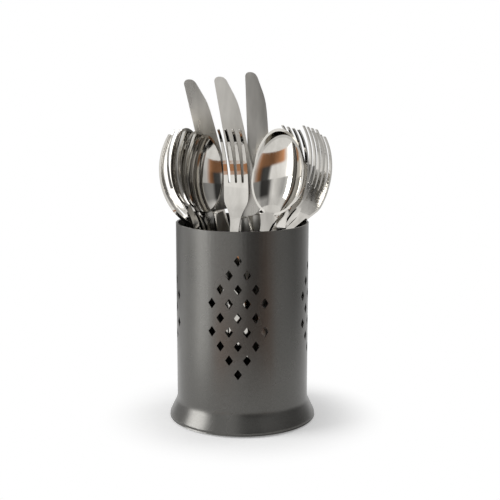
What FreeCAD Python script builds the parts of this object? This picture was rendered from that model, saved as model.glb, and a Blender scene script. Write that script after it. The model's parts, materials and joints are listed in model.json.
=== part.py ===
import FreeCAD, Part
import math
import os

from FreeCAD import Placement, Rotation, Vector

# Utensil holder: a perforated steel can on a flared foot, stocked with table cutlery.
# Sizes are in millimetres and angles in degrees. The origin is on the table under the
# axis of the can, +Z is up and the front of the can faces -Y.

# Can, rolled from one sheet
can_radius = 53.0
can_height = 160.0
sheet = 0.8
hem_depth = 5.0
foot_radius = 59.0
foot_angle = 25.0
foot_blend = 12.0
foot_roll = 2.5
foot_lift = 0.5
flange_width = 2.0

# Perforations: small diamonds grouped in one large diamond on each quarter of the wall
hole_width = 6.3
hole_height = 8.6
hole_step = 15.0
row_step = 11.1
pattern_middle = 93.2
pattern_rows = (1, 2, 3, 4, 3, 4, 3, 2, 1)
pattern_count = 4
pattern_turn = -3.6

# Base pan, lying on the flange of the foot, with a grip pad under it
fit_gap = 0.3

# Drainer, a false floor on a skirt that lifts out
drainer_top = 41.0
drainer_gap = 0.5
drainer_corner = 2.0
drain_hole = 8.0

# Rings of drain holes, from the inner one: radius, number of holes and angle of the first
drain_ring_radii = (20.0, 42.0)
drain_ring_counts = (6, 12)
drain_ring_turns = (40.0, 25.0)

# Clearance under each piece of cutlery, and fineness of the search for its lowest point
seat_gap = 0.3
seat_fineness = 0.05

# How far a cutter reaches past what it cuts
cut_margin = 1.0

# Handle shared by the forks and the spoons
handle_end = 19.0
handle_neck = 6.8
end_thickness = 1.8
neck_thickness = 3.2

# Taper of that handle: share of the way up to the neck, and of the way from end to neck width
handle_taper = ((0.33, 0.25), (0.57, 0.49), (0.83, 0.83), (1.06, 1.0))

# Fork
fork_handle = 102.0
fork_neck_radius = 26.0
fork_neck_turn = 44.0
fork_head_radius = 54.0
fork_head_turn = 92.0
fork_shoulder_width = 19.0
fork_tip_width = 17.5
fork_tines = 4
fork_tine_length = 45.0
fork_tine_root = 3.5
fork_tine_tip = 1.5
fork_tip_thickness = 1.4

# Shoulder of the fork: depth under the tine roots, and share of the way from neck to shoulder
fork_shoulder = ((32.0, 0.0), (25.0, 0.16), (20.0, 0.5), (15.0, 0.9), (8.0, 1.0))

# Spoon
spoon_handle = 108.0
spoon_neck_radius = 60.0
spoon_neck_turn = 14.0
spoon_neck_run = 22.0
spoon_heel_width = 23.8
bowl_overlap = 10.2
bowl_length = 62.0
bowl_width = 40.0
bowl_depth = 9.6
bowl_deepest = 28.5
bowl_wall = 1.1
bowl_margin = 2.0
bowl_tilt = 6.0
bowl_step = 1.1

# Flare under the bowl: depth under the neck's end, and share of the way from neck to heel
spoon_flare = ((15.4, 0.18), (9.9, 0.48), (1.0, 1.0))

# Knife
knife_length = 237.0
blade_length = 109.0
blade_width = 17.6
spine_thickness = 2.2
edge_thickness = 0.6
tip_round = 3.2
choil_rise = 6.0
choil_middle = (0.88, 0.33)
knife_handle_width = 19.0
knife_handle_thickness = 6.5
knife_end_width = 11.0
knife_end_thickness = 3.6
knife_end_rise = 3.0
bolster_width = 8.8
bolster_thickness = 5.0

# Knife handle: share of its length, of its full width and of its full thickness
knife_round = 18.0
knife_sections = (
    (0.05, 0.84, 0.88),
    (0.14, 1.0, 1.0),
    (0.4, 0.88, 1.0),
    (0.75, 0.64, 0.88),
)

# Cutting edge from the tip: share of the blade's length, and share of its width
blade_belly = ((0.07, 0.6), (0.16, 0.78), (0.33, 0.91), (0.64, 0.99))

# Where each piece stands: kind, place on the drainer, place level with the rim, and
# turn about its own handle. A positive turn faces the hollow side towards +X.
cutlery = {
    "knife_left": ("knife", (9.0, 33.7), (-17.6, 24.0), 0.3),
    "knife_centre": ("knife", (23.4, -26.5), (2.6, -23.1), -6.2),
    "knife_right": ("knife", (14.9, -17.6), (10.7, -15.8), -2.4),
    "fork_centre": ("fork", (-1.2, -30.1), (-7.0, -49.0), -10.4),
    "fork_left_outer": ("fork", (4.5, -2.3), (-31.7, 9.0), 86.8),
    "fork_left_inner": ("fork", (-3.6, 4.3), (-30.4, 19.8), 53.7),
    "fork_right_outer": ("fork", (4.5, 11.8), (36.4, -1.7), -55.6),
    "fork_right_middle": ("fork", (8.9, 18.8), (34.5, 16.2), -52.1),
    "fork_right_inner": ("fork", (11.7, -1.8), (25.1, -16.8), -41.6),
    "spoon_left_front": ("spoon", (-26.9, -0.1), (-23.6, -33.0), 50.0),
    "spoon_left_middle": ("spoon", (-28.9, 4.9), (-28.5, -21.2), 51.7),
    "spoon_left_back": ("spoon", (-37.0, 10.2), (-36.8, -10.1), 50.8),
    "spoon_right_front": ("spoon", (-4.8, -23.1), (16.7, -44.6), -20.5),
    "spoon_right_back": ("spoon", (36.3, -15.3), (29.9, -32.4), -10.5),
}

up = Vector(0, 0, 1)


def polar(radius, angle):
    """A step of a given length in the plane of +X and +Z."""
    return Vector(radius * math.cos(math.radians(angle)), 0, radius * math.sin(math.radians(angle)))


def line(start, end):
    return Part.LineSegment(start, end).toShape()


def arc(start, middle, end):
    return Part.Arc(start, middle, end).toShape()


def spline(points, first=None, last=None):
    """A smooth curve through points, with its end directions where they are given."""
    curve = Part.BSplineCurve()
    if first and last:
        curve.interpolate(Points=points, InitialTangent=first, FinalTangent=last)
    else:
        curve.interpolate(Points=points)
    return curve.toShape()


def closed_face(edges):
    """Close edges that follow on from each other with straight lines, as one face."""
    ends = [(edge.valueAt(edge.FirstParameter), edge.valueAt(edge.LastParameter)) for edge in edges]
    run = []
    for index, edge in enumerate(edges):
        run.append(edge)
        end, start = ends[index][1], ends[(index + 1) % len(edges)][0]
        if end.distanceToPoint(start) > 1e-6:
            run.append(line(end, start))
    return Part.Face(Part.Wire(run))


def polygon(points):
    return Part.Face(Part.makePolygon(points + points[:1]))


def turned(face):
    """A solid turned about the axis of the can from its section."""
    return face.revolve(Vector(0, 0, 0), up, 360)


# Foot of the can: the wall bends out, runs down at a slant and rolls under into a flange
roll_centre = Vector(foot_radius - foot_roll, 0, foot_lift + foot_roll)
slant = polar(1, foot_angle)
blend_radius = can_radius + foot_blend
blend_height = (roll_centre.dot(slant) + foot_roll + foot_blend - blend_radius * slant.x) / slant.z
blend_centre = Vector(blend_radius, 0, blend_height)
flange_radius = roll_centre.x - flange_width


def rolled_arc(start, end):
    return arc(*[roll_centre + polar(foot_roll, angle) for angle in (start, (start + end) / 2, end)])


def blended_arc(start, end):
    return arc(*[blend_centre + polar(foot_blend, angle) for angle in (start, (start + end) / 2, end)])


def can_section():
    """Section of the sheet from the flange up to the rim, where it folds inwards as a hem."""
    inside = can_radius - sheet
    hem_inside = inside - sheet
    hem_foot = can_height - hem_depth
    flange_top = foot_lift + sheet
    slant_inside = roll_centre.dot(slant) + foot_roll - sheet
    inner_bend = Vector(inside, 0, (slant_inside - inside * slant.x) / slant.z)
    inner_heel = Vector((slant_inside - flange_top * slant.z) / slant.x, 0, flange_top)
    return closed_face(
        [
            line(Vector(flange_radius, 0, foot_lift), Vector(roll_centre.x, 0, foot_lift)),
            rolled_arc(-90, foot_angle),
            blended_arc(180 + foot_angle, 180),
            line(Vector(can_radius, 0, can_height), Vector(hem_inside, 0, can_height)),
            line(Vector(hem_inside, 0, hem_foot), Vector(inside, 0, hem_foot)),
            line(inner_bend, inner_heel),
            line(inner_heel, Vector(flange_radius, 0, flange_top)),
        ]
    )


def hole_cutter(height):
    """A diamond prism through the front of the wall."""
    front = -(can_radius + cut_margin)
    corners = [
        Vector(hole_width / 2, front, height),
        Vector(0, front, height + hole_height / 2),
        Vector(-hole_width / 2, front, height),
        Vector(0, front, height - hole_height / 2),
    ]
    return polygon(corners).extrude(Vector(0, sheet + 2 * cut_margin, 0))


def can_shell():
    """The can, its turned seam set between two groups of perforations."""
    quarter = 360 / pattern_count
    shell = turned(can_section())
    shell.rotate(Vector(0, 0, 0), up, pattern_turn + quarter / 2)
    cutters = []
    for group in range(pattern_count):
        for row, holes in enumerate(pattern_rows):
            height = pattern_middle + (len(pattern_rows) // 2 - row) * row_step
            for hole in range(holes):
                cutter = hole_cutter(height)
                offset = (hole - (holes - 1) / 2) * hole_step
                cutter.rotate(Vector(0, 0, 0), up, pattern_turn + group * quarter + offset)
                cutters.append(cutter)
    return shell.cut(cutters)


pan_bottom = foot_lift + sheet
pan_radius = roll_centre.x - fit_gap


def base_pan():
    """A flat disc that closes the can."""
    return Part.makeCylinder(pan_radius, sheet, up * pan_bottom)


def grip_pad():
    """A flat rubber disc inside the flange, on which the can stands."""
    return Part.makeCylinder(flange_radius - fit_gap, pan_bottom)


def drainer():
    """A shallow inverted pan that passes the hem, with rings of drain holes."""
    radius = can_radius - 2 * sheet - drainer_gap
    foot = pan_bottom + sheet
    inner_top = drainer_top - sheet
    outline = [
        (radius - sheet, foot),
        (radius, foot),
        (radius, drainer_top - drainer_corner),
        (radius - drainer_corner, drainer_top),
        (0, drainer_top),
        (0, inner_top),
        (radius - drainer_corner - sheet / 2, inner_top),
        (radius - sheet, drainer_top - drainer_corner - sheet / 2),
    ]
    pan = turned(polygon([Vector(away, 0, height) for away, height in outline]))
    drill = Part.makeCylinder(drain_hole / 2, sheet + 2 * cut_margin, up * (inner_top - cut_margin))
    drills = []
    rings = zip(drain_ring_radii, drain_ring_counts, drain_ring_turns)
    for ring_radius, count, start in rings:
        for index in range(count):
            angle = start + 360 * index / count
            drills.append(drill.translated(Rotation(up, angle) * Vector(ring_radius, 0, 0)))
    return pan.cut(drills)


class SideLine:
    """The middle line of a piece seen from its side, built of tangent runs.

    It starts at the end of the handle and climbs +Z. The hollow side faces -Y, and a
    positive turn leans the line back towards +Y.
    """

    def __init__(self):
        self.runs = []
        self.length = 0.0

    def straight(self, length):
        self.runs.append((length, 0.0))
        self.length += length

    def bend(self, radius, turn):
        length = radius * math.radians(abs(turn))
        self.runs.append((length, turn))
        self.length += length

    def at(self, distance):
        """Place and front direction at a distance along the line."""
        place, heading = Vector(0, 0, 0), 0.0
        for length, turn in self.runs:
            part = min(max(distance, 0.0), length)
            change = turn * part / length
            middle = heading + change / 2
            chord = part
            if change:
                half = math.radians(change / 2)
                chord = part * math.sin(half) / half
            place += Vector(0, math.sin(math.radians(middle)), math.cos(math.radians(middle))) * chord
            heading += change
            distance -= part
        return place, Vector(0, -math.cos(math.radians(heading)), math.sin(math.radians(heading)))

    def plate(self, thicknesses, width):
        """A bent plate about the line, with its thickness set at some distances."""
        front, back = [], []
        start = 0.0
        for length, turn in self.runs:
            ahead, behind = [], []
            for distance in (start, start + length / 2, start + length):
                place, normal = self.at(distance)
                half = normal * (between(thicknesses, distance) / 2)
                ahead.append(place + half)
                behind.insert(0, place - half)
            front.append(arc(*ahead) if turn else line(ahead[0], ahead[2]))
            back.insert(0, arc(*behind) if turn else line(behind[0], behind[2]))
            start += length
        face = closed_face(front + back)
        face.translate(Vector(-width / 2, 0, 0))
        return face.extrude(Vector(width, 0, 0))


def between(stations, distance):
    """A value read off between the stations around a distance."""
    for (start, low), (end, high) in zip(stations, stations[1:]):
        if distance <= end:
            return low + (high - low) * (distance - start) / (end - start)
    return stations[-1][1]


def mirrored(points):
    return [Vector(-corner.x, corner.y, corner.z) for corner in reversed(points)]


def handle_edge(neck):
    """Right edge of a handle in front view, from its round end to the start of the neck."""
    edge = [Vector(handle_end / 2, 0, handle_end / 2)]
    for height, share in handle_taper:
        edge.append(Vector((handle_end + share * (handle_neck - handle_end)) / 2, 0, height * neck))
    return edge


def handle_round():
    """The round end of a handle, from its left edge to its right one."""
    round_end = handle_end / 2
    return arc(Vector(-round_end, 0, round_end), Vector(0, 0, 0), Vector(round_end, 0, round_end))


def cut_out(face, plate):
    """What an outline in front view cuts from a bent plate."""
    box = plate.BoundBox
    outline = face.translated(Vector(0, box.YMin - cut_margin, 0))
    return outline.extrude(Vector(0, box.YLength + 2 * cut_margin, 0)).common(plate)


def fork():
    """A four-tined fork, cut in outline from a plate bent in an S."""
    side = SideLine()
    side.straight(fork_handle)
    side.bend(fork_neck_radius, fork_neck_turn)
    side.bend(fork_head_radius, -fork_head_turn)
    neck = fork_handle + fork_neck_radius * math.radians(fork_neck_turn) / 2
    thicknesses = (
        (0, end_thickness),
        (neck, neck_thickness),
        (side.length - fork_tine_length, end_thickness),
        (side.length, fork_tip_thickness),
    )
    tip = side.at(side.length)[0].z
    root = tip - fork_tine_length
    edge = handle_edge(fork_handle)
    for depth, share in fork_shoulder:
        width = handle_neck + share * (fork_shoulder_width - handle_neck)
        edge.append(Vector(width / 2, 0, root - depth))
    root_step = (fork_shoulder_width - fork_tine_root) / (fork_tines - 1)
    tip_step = (fork_tip_width - fork_tine_tip) / (fork_tines - 1)
    round_tip = fork_tine_tip / 2
    edges = [handle_round(), spline(edge, up, up)]
    for tine in reversed(range(fork_tines)):
        across = tine - (fork_tines - 1) / 2
        middle = across * tip_step
        end = [
            Vector(middle + round_tip, 0, tip - round_tip),
            Vector(middle, 0, tip),
            Vector(middle - round_tip, 0, tip - round_tip),
        ]
        edges.append(arc(*end))
        if tine:
            wall = across * root_step - fork_tine_root / 2
            slot = root_step - fork_tine_root
            edges.append(
                arc(
                    Vector(wall, 0, root),
                    Vector(wall - slot / 2, 0, root - slot / 2),
                    Vector(wall - slot, 0, root),
                )
            )
    edges.append(spline(mirrored(edge), -up, -up))
    return cut_out(closed_face(edges), side.plate(thicknesses, 2 * fork_shoulder_width))


def bowl_barrel(wall):
    """The round body that shapes the bowl, shrunk by a wall, its rim in the plane of +X.

    Every cross section is an arc that meets half the width at the deepest place, so the
    body is turned about a line in front of the rim. Along the bowl two arcs meet there.
    """
    ahead = ((bowl_width / 2) ** 2 - bowl_depth**2) / (2 * bowl_depth)
    radius = ahead + bowl_depth - wall
    arcs = []
    for run, start, end in ((bowl_deepest, -1, 0), (bowl_length - bowl_deepest, 0, 1)):
        bend = (run**2 + bowl_depth**2) / (2 * bowl_depth) - wall
        reach = run + bowl_margin
        points = []
        for share in (start, (start + end) / 2, end):
            along = share * reach
            drop = bend - math.sqrt(bend**2 - along**2)
            points.append(Vector(radius - drop, 0, bowl_deepest + along))
        arcs.append(arc(*points))
    low, high = arcs[0].Vertexes[0].Point, arcs[1].Vertexes[-1].Point
    barrel = turned(closed_face(arcs + [line(Vector(0, 0, high.z), Vector(0, 0, low.z))]))
    barrel.translate(Vector(0, -ahead, 0))
    return barrel


def spoon():
    """A table spoon: a hollow bowl on a flat handle whose neck flares into its heel."""
    side = SideLine()
    side.straight(spoon_handle)
    side.bend(spoon_neck_radius, spoon_neck_turn)
    side.straight(spoon_neck_run)
    neck = spoon_handle + spoon_neck_radius * math.radians(spoon_neck_turn) / 2
    thicknesses = ((0, end_thickness), (neck, neck_thickness), (side.length, end_thickness))
    end = side.at(side.length)[0].z
    heel = side.at(side.length - bowl_overlap)[0] - Vector(0, bowl_step, 0)
    edge = handle_edge(spoon_handle)
    for depth, share in spoon_flare:
        width = handle_neck + share * (spoon_heel_width - handle_neck)
        edge.append(Vector(width / 2, 0, end - depth))
    flare = Vector(1, 0, 1)
    outline = [handle_round(), spline(edge, up, flare), spline(mirrored(edge), Vector(1, 0, -1), -up)]
    handle = cut_out(closed_face(outline), side.plate(thicknesses, 2 * handle_end))
    tilt = Placement(heel, Rotation(Vector(1, 0, 0), -bowl_tilt))
    back = Part.makeBox(2 * bowl_width, 2 * bowl_depth, bowl_length, Vector(-bowl_width, 0, 0))
    outside = bowl_barrel(0).common(back)
    inside = bowl_barrel(bowl_wall)
    outside.Placement = tilt.multiply(outside.Placement)
    inside.Placement = tilt.multiply(inside.Placement)
    return outside.fuse(handle).cut(inside)


def blade():
    """A flat blade with a straight spine, a round tip and a thin curved edge."""
    heel = knife_length - blade_length
    spine = -bolster_width / 2
    belly = [
        Vector(spine + width * blade_width, 0, knife_length - along * blade_length)
        for along, width in blade_belly
    ]
    tip = Vector(spine + tip_round, 0, knife_length)
    tip_centre = tip - up * tip_round
    tip_top = [tip_centre + polar(tip_round, angle) for angle in (180, 135, 90)]
    choil = Vector(spine + blade_width, 0, heel + choil_rise)
    choil_bulge = Vector(spine + choil_middle[0] * blade_width, 0, heel + choil_middle[1] * choil_rise)
    outline = closed_face(
        [
            line(Vector(spine, 0, heel), tip_top[0]),
            arc(*tip_top),
            spline([tip] + belly + [choil], Vector(1, 0, 0), -up),
            arc(choil, choil_bulge, Vector(-spine, 0, heel)),
        ]
    )
    levels = []
    for height in (heel, knife_length):
        back, edge = spine - cut_margin, spine + blade_width + cut_margin
        corners = [
            Vector(back, spine_thickness / 2, height),
            Vector(edge, edge_thickness / 2, height),
            Vector(edge, -edge_thickness / 2, height),
            Vector(back, -spine_thickness / 2, height),
        ]
        levels.append(Part.makePolygon(corners + corners[:1]))
    return cut_out(outline, Part.makeLoft(levels, True, True))


def handle_barrel():
    """A round body whose front side is the thickness of a knife handle along its length."""
    heel = knife_length - blade_length
    points = [Vector(knife_round + knife_end_thickness / 2, 0, 0)]
    for along, _, share in knife_sections:
        points.append(Vector(knife_round + share * knife_handle_thickness / 2, 0, along * heel))
    points.append(Vector(knife_round + bolster_thickness / 2, 0, heel))
    barrel = turned(closed_face([spline(points), line(Vector(0, 0, heel), Vector(0, 0, 0))]))
    barrel.translate(Vector(0, -knife_round, 0))
    return barrel


def knife():
    """A one-piece table knife: a handle with round faces, a bolster and a flat blade."""
    heel = knife_length - blade_length
    half = knife_end_width / 2
    end = arc(Vector(-half, 0, knife_end_rise), Vector(0, 0, 0), Vector(half, 0, knife_end_rise))
    edge = [Vector(half, 0, knife_end_rise)]
    for along, share, _ in knife_sections:
        edge.append(Vector(share * knife_handle_width / 2, 0, along * heel))
    edge.append(Vector(bolster_width / 2, 0, heel))
    outline = closed_face([end, spline(edge), spline(mirrored(edge))])
    front = handle_barrel()
    back = front.mirror(Vector(0, 0, 0), Vector(0, 1, 0))
    return cut_out(outline, front.common(back)).fuse(blade())


def stood(shape, foot, rim, turn):
    """Stand a piece on the drainer, leaning through its place level with the rim."""
    base = Vector(foot[0], foot[1], drainer_top)
    lean = Vector(rim[0], rim[1], can_height) - base
    lean.normalize()
    placed = shape.copy()
    placed.Placement = Placement(base, Rotation(up, lean) * Rotation(up, turn))
    lowest = min(corner.z for corner in placed.tessellate(seat_fineness)[0])
    placed.translate(lean * ((drainer_top + seat_gap - lowest) / lean.z))
    return placed


def save(name, shape):
    """Write one piece."""
    solids = shape.Solids
    shape = solids[0] if len(solids) == 1 else Part.makeCompound(solids)
    shape.exportStep(f"parts/{name}.step")
    print(f"{name}: {len(solids)} solid, {shape.Volume / 1000:.2f} cm3, valid {shape.isValid()}")


def main():
    os.makedirs("parts", exist_ok=True)
    save("can_shell", can_shell())
    save("base_pan", base_pan())
    save("grip_pad", grip_pad())
    save("drainer", drainer())
    kinds = {"fork": fork(), "spoon": spoon(), "knife": knife()}
    for name, (kind, foot, rim, turn) in cutlery.items():
        save(name, stood(kinds[kind], foot, rim, turn))


main()
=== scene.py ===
import json
import logging
import math
from dataclasses import dataclass
from enum import Enum, IntEnum

import bpy
import bmesh
import numpy as np
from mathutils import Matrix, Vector

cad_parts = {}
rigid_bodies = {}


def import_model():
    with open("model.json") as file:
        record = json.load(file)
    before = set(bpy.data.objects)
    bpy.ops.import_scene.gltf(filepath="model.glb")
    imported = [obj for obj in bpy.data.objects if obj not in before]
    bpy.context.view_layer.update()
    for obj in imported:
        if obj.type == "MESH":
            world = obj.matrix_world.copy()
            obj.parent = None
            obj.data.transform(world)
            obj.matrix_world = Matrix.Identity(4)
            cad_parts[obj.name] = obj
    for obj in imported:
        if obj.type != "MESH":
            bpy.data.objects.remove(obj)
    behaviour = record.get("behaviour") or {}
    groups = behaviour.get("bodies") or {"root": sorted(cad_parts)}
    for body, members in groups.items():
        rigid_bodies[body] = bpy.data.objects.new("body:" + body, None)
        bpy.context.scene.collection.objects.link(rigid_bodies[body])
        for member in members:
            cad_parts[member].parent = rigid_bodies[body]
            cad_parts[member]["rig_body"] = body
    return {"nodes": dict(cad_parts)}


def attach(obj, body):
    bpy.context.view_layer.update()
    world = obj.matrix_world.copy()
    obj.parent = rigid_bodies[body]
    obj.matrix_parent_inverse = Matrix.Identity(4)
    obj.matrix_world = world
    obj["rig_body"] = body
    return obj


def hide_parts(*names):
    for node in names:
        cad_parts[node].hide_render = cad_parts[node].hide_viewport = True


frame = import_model()

log = logging.getLogger("utensil_holder")

MM = 0.001

# Corners of a solid's mesh that are nearer to each other than this are one point.
WELD_MM = 0.002

# Noise runs from 0 to 1 and seldom leaves this range, so finishes spread it out.
NOISE_RANGE = {"From Min": 0.3, "From Max": 0.7}

Triple = tuple[float, float, float]
Inputs = dict[str | int, object]


class Slot(Enum):
    """The finishes of the record, by name."""

    GUNMETAL = "gunmetal_coat"
    PAD = "pad_rubber"
    DRAINER = "drainer_coat"
    STAINLESS = "stainless"


class Band(IntEnum):
    """The bands of the mirrored room, from the part outwards and up."""

    NEAR_TABLE = 0
    FAR_TABLE = 1
    WALL = 2
    ABOVE = 3


def linear(colour: str) -> tuple[float, float, float, float]:
    """Turn an sRGB hex colour into a linear one.

    By the sRGB curve, which is straight near black and a power of 2.4 above.

    Args:
        colour: Six hex digits.

    Returns:
        Red, green, blue and alpha, linear.
    """
    channels = [int(colour[i : i + 2], 16) / 255 for i in (0, 2, 4)]
    bent = [c / 12.92 if c <= 0.04045 else ((c + 0.055) / 1.055) ** 2.4 for c in channels]
    return (*bent, 1.0)


class NodeSheet:
    """The nodes of a material or a world."""

    def __init__(self, owner: bpy.types.Material | bpy.types.World) -> None:
        """Turn the owner's nodes on and clear them.

        Args:
            owner: The material or the world.
        """
        owner.use_nodes = True
        self.tree = owner.node_tree
        self.tree.nodes.clear()

    def add(self, kind: str, inputs: Inputs | None = None, **settings: object) -> bpy.types.Node:
        """Add a node with its settings and links.

        Args:
            kind: The type of the node.
            inputs: What each input gets, by name or number: a value, or the socket that feeds it.
            settings: The node's other settings.

        Returns:
            The node.
        """
        node = self.tree.nodes.new(kind)
        for name, value in settings.items():
            setattr(node, name, value)
        for key, value in (inputs or {}).items():
            if isinstance(value, bpy.types.NodeSocket):
                self.tree.links.new(value, node.inputs[key])
            else:
                node.inputs[key].default_value = value
        return node

    def clouds(
        self, size_mm: float, detail: float, stretch: Triple = (1.0, 1.0, 1.0)
    ) -> bpy.types.NodeSocket:
        """Soft spots of a real size, which keep their place on a piece.

        The pattern is noise, read at the point's place divided along each axis by a spot's size.

        Args:
            size_mm: Size of a spot.
            detail: Octaves of finer noise in it.
            stretch: How many times longer a spot is along each axis.

        Returns:
            The pattern, from 0 to 1.
        """
        place = self.add("ShaderNodeTexCoord")
        scale = tuple(1 / (size_mm * MM * times) for times in stretch)
        mapping = self.add("ShaderNodeMapping", {"Vector": place.outputs["Object"], "Scale": scale})
        noise = self.add(
            "ShaderNodeTexNoise", {"Vector": mapping.outputs["Vector"], "Scale": 1.0, "Detail": detail}
        )
        return noise.outputs["Fac"]

    def mottle(self, pattern: bpy.types.NodeSocket, dark: str, light: str) -> bpy.types.NodeSocket:
        """Mix two colours by a cloudy pattern, spread out so that both show.

        Args:
            pattern: The pattern.
            dark: Hex colour where the pattern is low.
            light: Hex colour where it is high.

        Returns:
            The colour.
        """
        share = self.add("ShaderNodeMapRange", NOISE_RANGE | {"Value": pattern})
        colours = {"Factor": share.outputs["Result"], "A": linear(dark), "B": linear(light)}
        return self.add("ShaderNodeMix", colours, data_type="RGBA").outputs["Result"]

    def seen_rays(self) -> bpy.types.NodeSocket:
        """Tell the rays that show a thing, straight or in a mirror, from those that light one.

        Returns:
            1 for a camera, glossy or transmission ray, and else 0.
        """
        path = self.add("ShaderNodeLightPath")
        seen = path.outputs["Is Camera Ray"]
        for ray in ("Is Glossy Ray", "Is Transmission Ray"):
            largest = self.add("ShaderNodeMath", {0: seen, 1: path.outputs[ray]}, operation="MAXIMUM")
            seen = largest.outputs["Value"]
        return seen

    def finish(self, inputs: Inputs) -> None:
        """Add a finish's shader, with what its inputs get, and join it to the output."""
        shader = self.add("ShaderNodeBsdfPrincipled", inputs)
        self.add("ShaderNodeOutputMaterial", {"Surface": shader.outputs["BSDF"]})


@dataclass(frozen=True)
class PowderCoat:
    """A satin coat with fine metal flakes, baked over steel."""

    name: str
    dark: str
    light: str
    metal: float = 0.7
    roughness: tuple[float, float] = (0.26, 0.32)
    sheen_mm: float = 28.0
    # Real flakes are about a tenth of this size, too fine to show, so these are drawn coarser.
    flake_mm: float = 0.35
    detail: float = 2.0
    peel_mm: float = 0.012
    peel_strength: float = 0.5

    def make(self) -> bpy.types.Material:
        """Build the coat: a speckled colour, a cloudy sheen and fine orange peel.

        Returns:
            The coat.
        """
        material = bpy.data.materials.new(self.name)
        sheet = NodeSheet(material)
        # Metal flakes under a satin coat: the eye sees a soft sheen with a very fine grain.
        flakes = sheet.clouds(self.flake_mm, self.detail)
        sheen = sheet.clouds(self.sheen_mm, self.detail)
        low, high = self.roughness
        roughness = sheet.add(
            "ShaderNodeMapRange", NOISE_RANGE | {"Value": sheen, "To Min": low, "To Max": high}
        )
        peel = sheet.add(
            "ShaderNodeBump",
            {"Height": flakes, "Distance": self.peel_mm * MM, "Strength": self.peel_strength},
        )
        sheet.finish(
            {
                "Base Color": sheet.mottle(flakes, self.dark, self.light),
                "Metallic": self.metal,
                "Roughness": roughness.outputs["Result"],
                "Normal": peel.outputs["Normal"],
            }
        )
        return material


@dataclass(frozen=True)
class PolishedSteel:
    """Stainless steel, polished as far as its roughness says: to a mirror, or only to satin."""

    name: str
    dark: str = "b9b6b0"
    light: str = "d6d3cd"
    roughness: tuple[float, float] = (0.05, 0.10)
    cloud_mm: float = 9.0
    cloud_detail: float = 3.0
    cloud_stretch: Triple = (1.0, 1.0, 4.0)
    # Real marks are about a tenth as wide, too fine to show, so these are drawn coarser.
    mark_mm: float = 0.25
    mark_detail: float = 1.0
    mark_stretch: Triple = (1.0, 1.0, 12.0)
    mark_depth_mm: float = 0.0006
    mark_strength: float = 0.4

    def make(self) -> bpy.types.Material:
        """Build the steel: a bright metal with cloudy roughness and faint marks up the piece.

        Returns:
            The steel.
        """
        material = bpy.data.materials.new(self.name)
        sheet = NodeSheet(material)
        # Stainless steel: the cloudy roughness gives mirrored edges that are crisp here and
        # soft there, as on cutlery that has been washed and wiped.
        cloud = sheet.clouds(self.cloud_mm, self.cloud_detail, self.cloud_stretch)
        marks = sheet.clouds(self.mark_mm, self.mark_detail, self.mark_stretch)
        low, high = self.roughness
        roughness = sheet.add(
            "ShaderNodeMapRange", NOISE_RANGE | {"Value": cloud, "To Min": low, "To Max": high}
        )
        relief = sheet.add(
            "ShaderNodeBump",
            {"Height": marks, "Distance": self.mark_depth_mm * MM, "Strength": self.mark_strength},
        )
        sheet.finish(
            {
                "Base Color": sheet.mottle(cloud, self.dark, self.light),
                "Metallic": 1.0,
                "Roughness": roughness.outputs["Result"],
                "Normal": relief.outputs["Normal"],
            }
        )
        return material


@dataclass(frozen=True)
class Rubber:
    """Matte black rubber, moulded with a fine grain."""

    name: str
    dark: str = "161616"
    light: str = "242424"
    roughness: float = 0.8
    cloud_mm: float = 3.0
    grain_mm: float = 0.5
    grain_depth_mm: float = 0.03
    detail: float = 3.0

    def make(self) -> bpy.types.Material:
        """Build the rubber: a dull, slightly cloudy black with a grain.

        Returns:
            The rubber.
        """
        material = bpy.data.materials.new(self.name)
        sheet = NodeSheet(material)
        # Rubber: a dull dark line under the foot, with no highlight.
        cloud = sheet.clouds(self.cloud_mm, self.detail)
        colours = {"Factor": cloud, "A": linear(self.dark), "B": linear(self.light)}
        colour = sheet.add("ShaderNodeMix", colours, data_type="RGBA")
        grain = sheet.clouds(self.grain_mm, self.detail)
        relief = sheet.add("ShaderNodeBump", {"Height": grain, "Distance": self.grain_depth_mm * MM})
        sheet.finish(
            {
                "Base Color": colour.outputs["Result"],
                "Roughness": self.roughness,
                "Normal": relief.outputs["Normal"],
            }
        )
        return material


def add_object(name: str, data: bpy.types.ID) -> bpy.types.Object:
    """Put a mesh, a lamp or a camera into the scene.

    Args:
        name: Name of the object.
        data: What it shows.

    Returns:
        The object.
    """
    thing = bpy.data.objects.new(name, data)
    bpy.context.scene.collection.objects.link(thing)
    return thing


def shade_smooth(mesh: bpy.types.Mesh) -> None:
    """Shade all faces of a mesh smoothly."""
    mesh.polygons.foreach_set("use_smooth", np.ones(len(mesh.polygons), bool))


def dressed_copy(
    node: str, finish: bpy.types.Material, crease_deg: float
) -> bpy.types.Object:
    """A smooth-shaded and dressed copy of a solid's mesh, which stands for the solid.

    Args:
        node: The solid's node.
        finish: The material.
        crease_deg: Edges that turn more than this stay sharp.

    Returns:
        The copy.
    """
    source = frame["nodes"][node]
    mesh = source.data.copy()
    mesh.name = node + "_skin"
    work = bmesh.new()
    work.from_mesh(mesh)
    bmesh.ops.remove_doubles(work, verts=work.verts, dist=WELD_MM * MM)
    work.to_mesh(mesh)
    work.free()
    mesh.materials.clear()
    mesh.materials.append(finish)
    shade_smooth(mesh)
    mesh.set_sharp_from_angle(angle=math.radians(crease_deg))
    piece = add_object(node + "_skin", mesh)
    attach(piece, source["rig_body"])
    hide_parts(node)
    return piece


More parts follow.
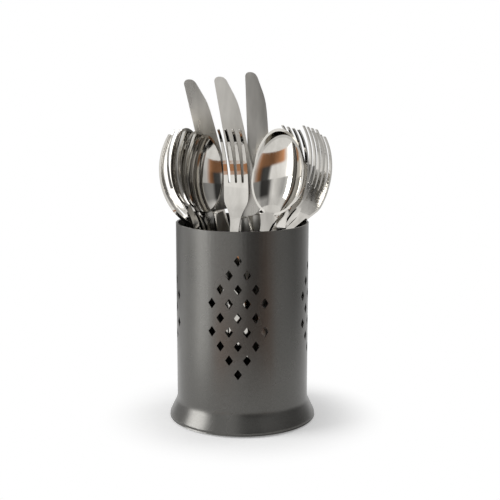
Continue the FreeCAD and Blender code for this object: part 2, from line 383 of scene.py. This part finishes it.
def grid_piece(name: str, points: np.ndarray) -> bpy.types.Object:
    """Make an open piece from a grid of points, with a face between each four neighbours.

    Args:
        name: Name of the piece.
        points: Places, as rows by columns by three.

    Returns:
        The piece, smooth-shaded.
    """
    rows, columns = points.shape[:2]
    index = np.arange(rows * columns).reshape(rows, columns)
    faces = np.stack([index[:-1, :-1], index[1:, :-1], index[1:, 1:], index[:-1, 1:]], axis=-1)
    mesh = bpy.data.meshes.new(name)
    mesh.from_pydata(points.reshape(-1, 3).tolist(), [], faces.reshape(-1, 4).tolist())
    shade_smooth(mesh)
    return add_object(name, mesh)


@dataclass(frozen=True)
class Holder:
    """The can on its foot, its base and its pad."""

    coat: PowderCoat = PowderCoat(Slot.GUNMETAL.value, "4f4e4b", "686764")
    rubber: Rubber = Rubber(Slot.PAD.value)
    crease_deg: float = 20.0

    def build(self) -> list[bpy.types.Object]:
        """Build and dress the pieces of the holder.

        Returns:
            The pieces.
        """
        coat = self.coat.make()
        pieces = [
            dressed_copy(node, coat, self.crease_deg)
            for node in ("can_shell", "base_pan")
        ]
        pad = frame["nodes"]["grip_pad"]
        pad.data.materials.clear()
        pad.data.materials.append(self.rubber.make())
        return [*pieces, pad]


@dataclass(frozen=True)
class Drainer:
    """The false floor that the cutlery stands on."""

    coat: PowderCoat = PowderCoat(Slot.DRAINER.value, "1d1c1b", "2a2928")
    crease_deg: float = 20.0

    def build(self) -> list[bpy.types.Object]:
        """Build and dress the drainer."""
        return [dressed_copy("drainer", self.coat.make(), self.crease_deg)]


@dataclass(frozen=True)
class Cutlery:
    """The knives, which have a satin finish, and the bright forks and spoons."""

    steel: PolishedSteel = PolishedSteel(Slot.STAINLESS.value)
    satin: PolishedSteel = PolishedSteel("stainless_satin", roughness=(0.26, 0.34))
    crease_deg: float = 25.0

    def build(self) -> list[bpy.types.Object]:
        """Build and dress every piece of cutlery.

        Returns:
            The pieces.
        """
        steel = self.steel.make()
        finishes = {"knife": self.satin.make(), "fork": steel, "spoon": steel}
        pieces = []
        for node in sorted(frame["nodes"]):
            kind = node.split("_")[0]
            if kind in finishes:
                pieces.append(dressed_copy(node, finishes[kind], self.crease_deg))
        return pieces


@dataclass(frozen=True)
class Surround:
    """The room that the steel mirrors: a table round the part, a wall and what is above it.

    Bearings are in degrees, counted from the camera's side towards +X. At each bearing there
    is one tone for each band, in the bands' order: its glow, where 1 is white and a window is
    more. A row of the profile is a distance from the part's axis and a height, in metres, and a
    band. The tone changes smoothly from one band to the next, and from bearing to bearing.
    """

    # Bearing, then the tones of the near table, the far table, the wall and what is above.
    tones: tuple[tuple[float, float, float, float, float], ...] = (
        (-180.0, 0.95, 0.80, 0.60, 0.8),
        (-166.0, 0.95, 0.80, 0.50, 0.8),
        (-158.0, 0.80, 0.30, 0.12, 0.5),
        (-134.0, 0.80, 0.30, 0.10, 0.5),
        (-126.0, 0.95, 0.80, 0.55, 0.7),
        (-112.0, 1.2, 1.1, 0.55, 0.7),
        (-104.0, 1.1, 0.8, 0.15, 0.5),
        (-92.0, 1.2, 0.9, 0.15, 0.5),
        (-84.0, 1.5, 1.5, 0.6, 0.7),
        (-74.0, 2.8, 2.8, 0.9, 0.9),
        (-62.0, 2.6, 2.6, 0.8, 0.9),
        (-50.0, 1.2, 1.3, 0.55, 0.8),
        (-16.0, 0.46, 1.1, 1.1, 0.9),
        (-8.0, 0.34, 1.1, 0.75, 0.6),
        (-2.0, 0.26, 1.1, 0.20, 0.35),
        (3.0, 0.24, 0.40, 0.06, 0.45),
        (8.0, 0.24, 0.08, 0.05, 0.45),
        (26.0, 0.26, 0.06, 0.04, 0.5),
        (36.0, 0.36, 0.26, 0.30, 0.8),
        (56.0, 0.80, 0.75, 0.35, 0.7),
        (76.0, 0.80, 0.65, 0.22, 0.6),
        (98.0, 0.70, 0.35, 0.10, 0.5),
        (116.0, 0.80, 0.50, 0.30, 0.6),
        (150.0, 0.95, 0.80, 0.55, 0.8),
        (180.0, 0.95, 0.80, 0.60, 0.8),
    )
    profile: tuple[tuple[float, float, Band], ...] = (
        (0.24, 0.002, Band.NEAR_TABLE),
        (0.40, 0.002, Band.NEAR_TABLE),
        (0.46, 0.002, Band.FAR_TABLE),
        (1.90, 0.004, Band.FAR_TABLE),
        (1.95, 0.02, Band.WALL),
        (1.95, 0.95, Band.WALL),
        (1.90, 1.35, Band.ABOVE),
        (1.50, 1.60, Band.ABOVE),
    )
    bearing_count: int = 181
    # The table is of wood between two bearings: its tint, those bearings, the width of its
    # soft edges, and the bearings where the tint starts and is full on the far table.
    wood: str = "f7b586"
    wood_ends: tuple[float, float] = (-52.0, 56.0)
    wood_edge: float = 16.0
    far_wood: tuple[float, float] = (24.0, 32.0)

    def build(self) -> None:
        """Build the ring and its walls, seen only in mirrored light.

        A point is a point of the profile turned to a bearing: its distance times the bearing's
        sine, its distance times minus the cosine, and its height.
        """
        profile = np.array(self.profile)
        bearings = np.linspace(-180.0, 180.0, self.bearing_count)
        turn, row = np.meshgrid(np.radians(bearings), np.arange(len(profile)), indexing="ij")
        radius, height, band = profile[row, 0], profile[row, 1], profile[row, 2].astype(int)
        points = np.stack([radius * np.sin(turn), -radius * np.cos(turn), height], axis=-1)
        ring = grid_piece("studio_surround", points)
        tones = ring.data.attributes.new("tone", "FLOAT_COLOR", "POINT")
        tones.data.foreach_set("color", self.colours(bearings, band).ravel())
        ring.data.materials.append(self.light())
        ring.visible_camera = False
        ring.visible_diffuse = False
        ring.visible_shadow = False

    def colours(self, bearings: np.ndarray, band: np.ndarray) -> np.ndarray:
        """Give each point its colour: its band's tone at its bearing, tinted where wood is.

        The near table takes the wood's tint between the wood's ends, over a soft edge. The far
        table takes it there too, but only beyond the far wood's first bearing, and in full
        from its second.

        Args:
            bearings: The bearing of each row of points.
            band: The band of each point, as rows by columns.

        Returns:
            Red, green, blue and alpha, as rows by columns by four.
        """
        table = np.array(self.tones)
        levels = np.stack([np.interp(bearings, table[:, 0], table[:, k + 1]) for k in Band], axis=-1)
        tone = np.take_along_axis(levels, band, axis=1)[..., None]
        first, last = self.wood_ends
        start, full = self.far_wood
        inside = np.clip((bearings - first) / self.wood_edge, 0, 1)
        inside = inside * np.clip((last - bearings) / self.wood_edge, 0, 1)
        beyond = np.clip((bearings - start) / (full - start), 0, 1)
        covered = np.where(band == Band.NEAR_TABLE, 1.0, (band == Band.FAR_TABLE) * beyond[:, None])
        share = (inside[:, None] * covered)[..., None]
        tinted = tone * (1 - share + share * np.array(linear(self.wood)[:3]))
        return np.concatenate([tinted, np.ones_like(tone)], axis=-1).astype(np.float32)

    def light(self) -> bpy.types.Material:
        """A light that glows in each point's own colour.

        Returns:
            The light.
        """
        material = bpy.data.materials.new("studio_surround")
        sheet = NodeSheet(material)
        tone = sheet.add("ShaderNodeAttribute", attribute_name="tone")
        glow = sheet.add("ShaderNodeEmission", {"Color": tone.outputs["Color"]})
        sheet.add("ShaderNodeOutputMaterial", {"Surface": glow.outputs["Emission"]})
        return material


@dataclass(frozen=True)
class Floor:
    """A wide pale floor, which turns into plain white away from the part.

    How far it reaches, and where the white starts and is full, are metres from the part's axis.
    """

    reach: float = 4.0
    colour: str = "fafafa"
    roughness: float = 0.9
    gloss: float = 0.1
    glow: float = 0.26
    white_from: float = 0.06
    white_full: float = 0.12

    def build(self) -> None:
        """Build the floor, a square of one face."""
        ends = np.array([-self.reach, self.reach])
        x, y = np.meshgrid(ends, ends, indexing="ij")
        floor = grid_piece("studio_floor", np.stack([x, y, 0 * x], axis=-1))
        floor.data.materials.append(self.paint())

    def paint(self) -> bpy.types.Material:
        """Matte paint near the part, where shadows fall, and plain white round it.

        The white comes in by a smooth step of the distance from the part's axis, and only for
        the rays that show the floor.

        Returns:
            The paint.
        """
        material = bpy.data.materials.new("studio_floor")
        sheet = NodeSheet(material)
        colour = linear(self.colour)
        matte = sheet.add(
            "ShaderNodeBsdfPrincipled",
            {
                "Base Color": colour,
                "Roughness": self.roughness,
                "Specular IOR Level": self.gloss,
                "Emission Color": colour,
                "Emission Strength": self.glow,
            },
        )
        place = sheet.add("ShaderNodeTexCoord")
        distance = sheet.add("ShaderNodeVectorMath", {0: place.outputs["Object"]}, operation="LENGTH")
        fade = sheet.add(
            "ShaderNodeMapRange",
            {
                "Value": distance.outputs["Value"],
                "From Min": self.white_from,
                "From Max": self.white_full,
            },
            interpolation_type="SMOOTHSTEP",
        )
        shares = {0: fade.outputs["Result"], 1: sheet.seen_rays()}
        share = sheet.add("ShaderNodeMath", shares, operation="MULTIPLY")
        white = sheet.add("ShaderNodeEmission")
        mix = sheet.add(
            "ShaderNodeMixShader",
            {"Fac": share.outputs["Value"], 1: matte.outputs["BSDF"], 2: white.outputs["Emission"]},
        )
        sheet.add("ShaderNodeOutputMaterial", {"Surface": mix.outputs["Shader"]})
        return material


@dataclass(frozen=True)
class Sky:
    """The white all round, at full strength where it is seen and dimmer as a source of light."""

    colour: str = "ffffff"
    seen: float = 1.0
    lighting: float = 0.38

    def build(self) -> None:
        """Build the world."""
        world = bpy.data.worlds.new("studio")
        bpy.context.scene.world = world
        sheet = NodeSheet(world)
        strength = sheet.add(
            "ShaderNodeMapRange",
            {"Value": sheet.seen_rays(), "To Min": self.lighting, "To Max": self.seen},
        )
        background = sheet.add(
            "ShaderNodeBackground",
            {"Color": linear(self.colour), "Strength": strength.outputs["Result"]},
        )
        sheet.add("ShaderNodeOutputWorld", {"Surface": background.outputs["Background"]})


@dataclass(frozen=True)
class Lamp:
    """A square soft lamp that looks at the part: its place and side in metres, its watts."""

    name: str
    place: Triple
    side: float
    watts: float
    aim: Triple = (0.0, 0.0, 0.13)

    def build(self) -> None:
        """Hang the lamp and turn it to what it aims at."""
        lamp = bpy.data.lights.new(self.name, "AREA")
        lamp.energy = self.watts
        lamp.size = self.side
        window = add_object(self.name, lamp)
        window.location = self.place
        aim = Vector(self.aim) - Vector(self.place)
        window.rotation_euler = aim.to_track_quat("-Z", "Y").to_euler()


@dataclass(frozen=True)
class Camera:
    """The camera, fitted to the photograph.

    Its focal length, the frame's side and the column of the can's axis are in pixels of the
    photograph, its place is in metres, and it looks down by its pitch, in degrees.
    """

    place: Triple = (0.0, -0.8424, 0.2855)
    pitch: float = 9.995
    focal_px: float = 1065.37
    frame_px: float = 500.0
    axis_px: float = 242.3
    sensor_mm: float = 36.0

    def build(self) -> None:
        """Set the camera up."""
        lens = bpy.data.cameras.new("camera")
        lens.sensor_width = self.sensor_mm
        lens.lens = self.focal_px / self.frame_px * self.sensor_mm
        lens.shift_x = (self.frame_px / 2 - self.axis_px) / self.frame_px
        camera = add_object("camera", lens)
        camera.location = self.place
        camera.rotation_euler = (math.radians(90 - self.pitch), 0, 0)
        bpy.context.scene.camera = camera


@dataclass(frozen=True)
class Studio:
    """The floor, the mirrored room, the sky, two windows and the camera."""

    floor: Floor = Floor()
    surround: Surround = Surround()
    sky: Sky = Sky()
    lamps: tuple[Lamp, ...] = (
        Lamp("window_left", (-1.15, -0.2, 0.45), 0.7, 11.0),
        Lamp("window_right", (1.0, 0.5, 0.9), 0.5, 2.0),
    )
    camera: Camera = Camera()

    def build(self) -> None:
        """Build the studio, and show its colours as they are."""
        for thing in (self.floor, self.surround, self.sky, *self.lamps, self.camera):
            thing.build()
        bpy.context.scene.view_settings.view_transform = "Standard"


def main() -> None:
    """Build the dressed part in its studio and note its size."""
    logging.basicConfig(level=logging.INFO, format="%(name)s: %(message)s")
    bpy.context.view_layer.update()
    for maker in (Holder(), Drainer(), Cutlery()):
        for piece in maker.build():
            log.info("%s: %d faces", piece.name, len(piece.data.polygons))
    Studio().build()


if __name__ == "__main__":
    main()
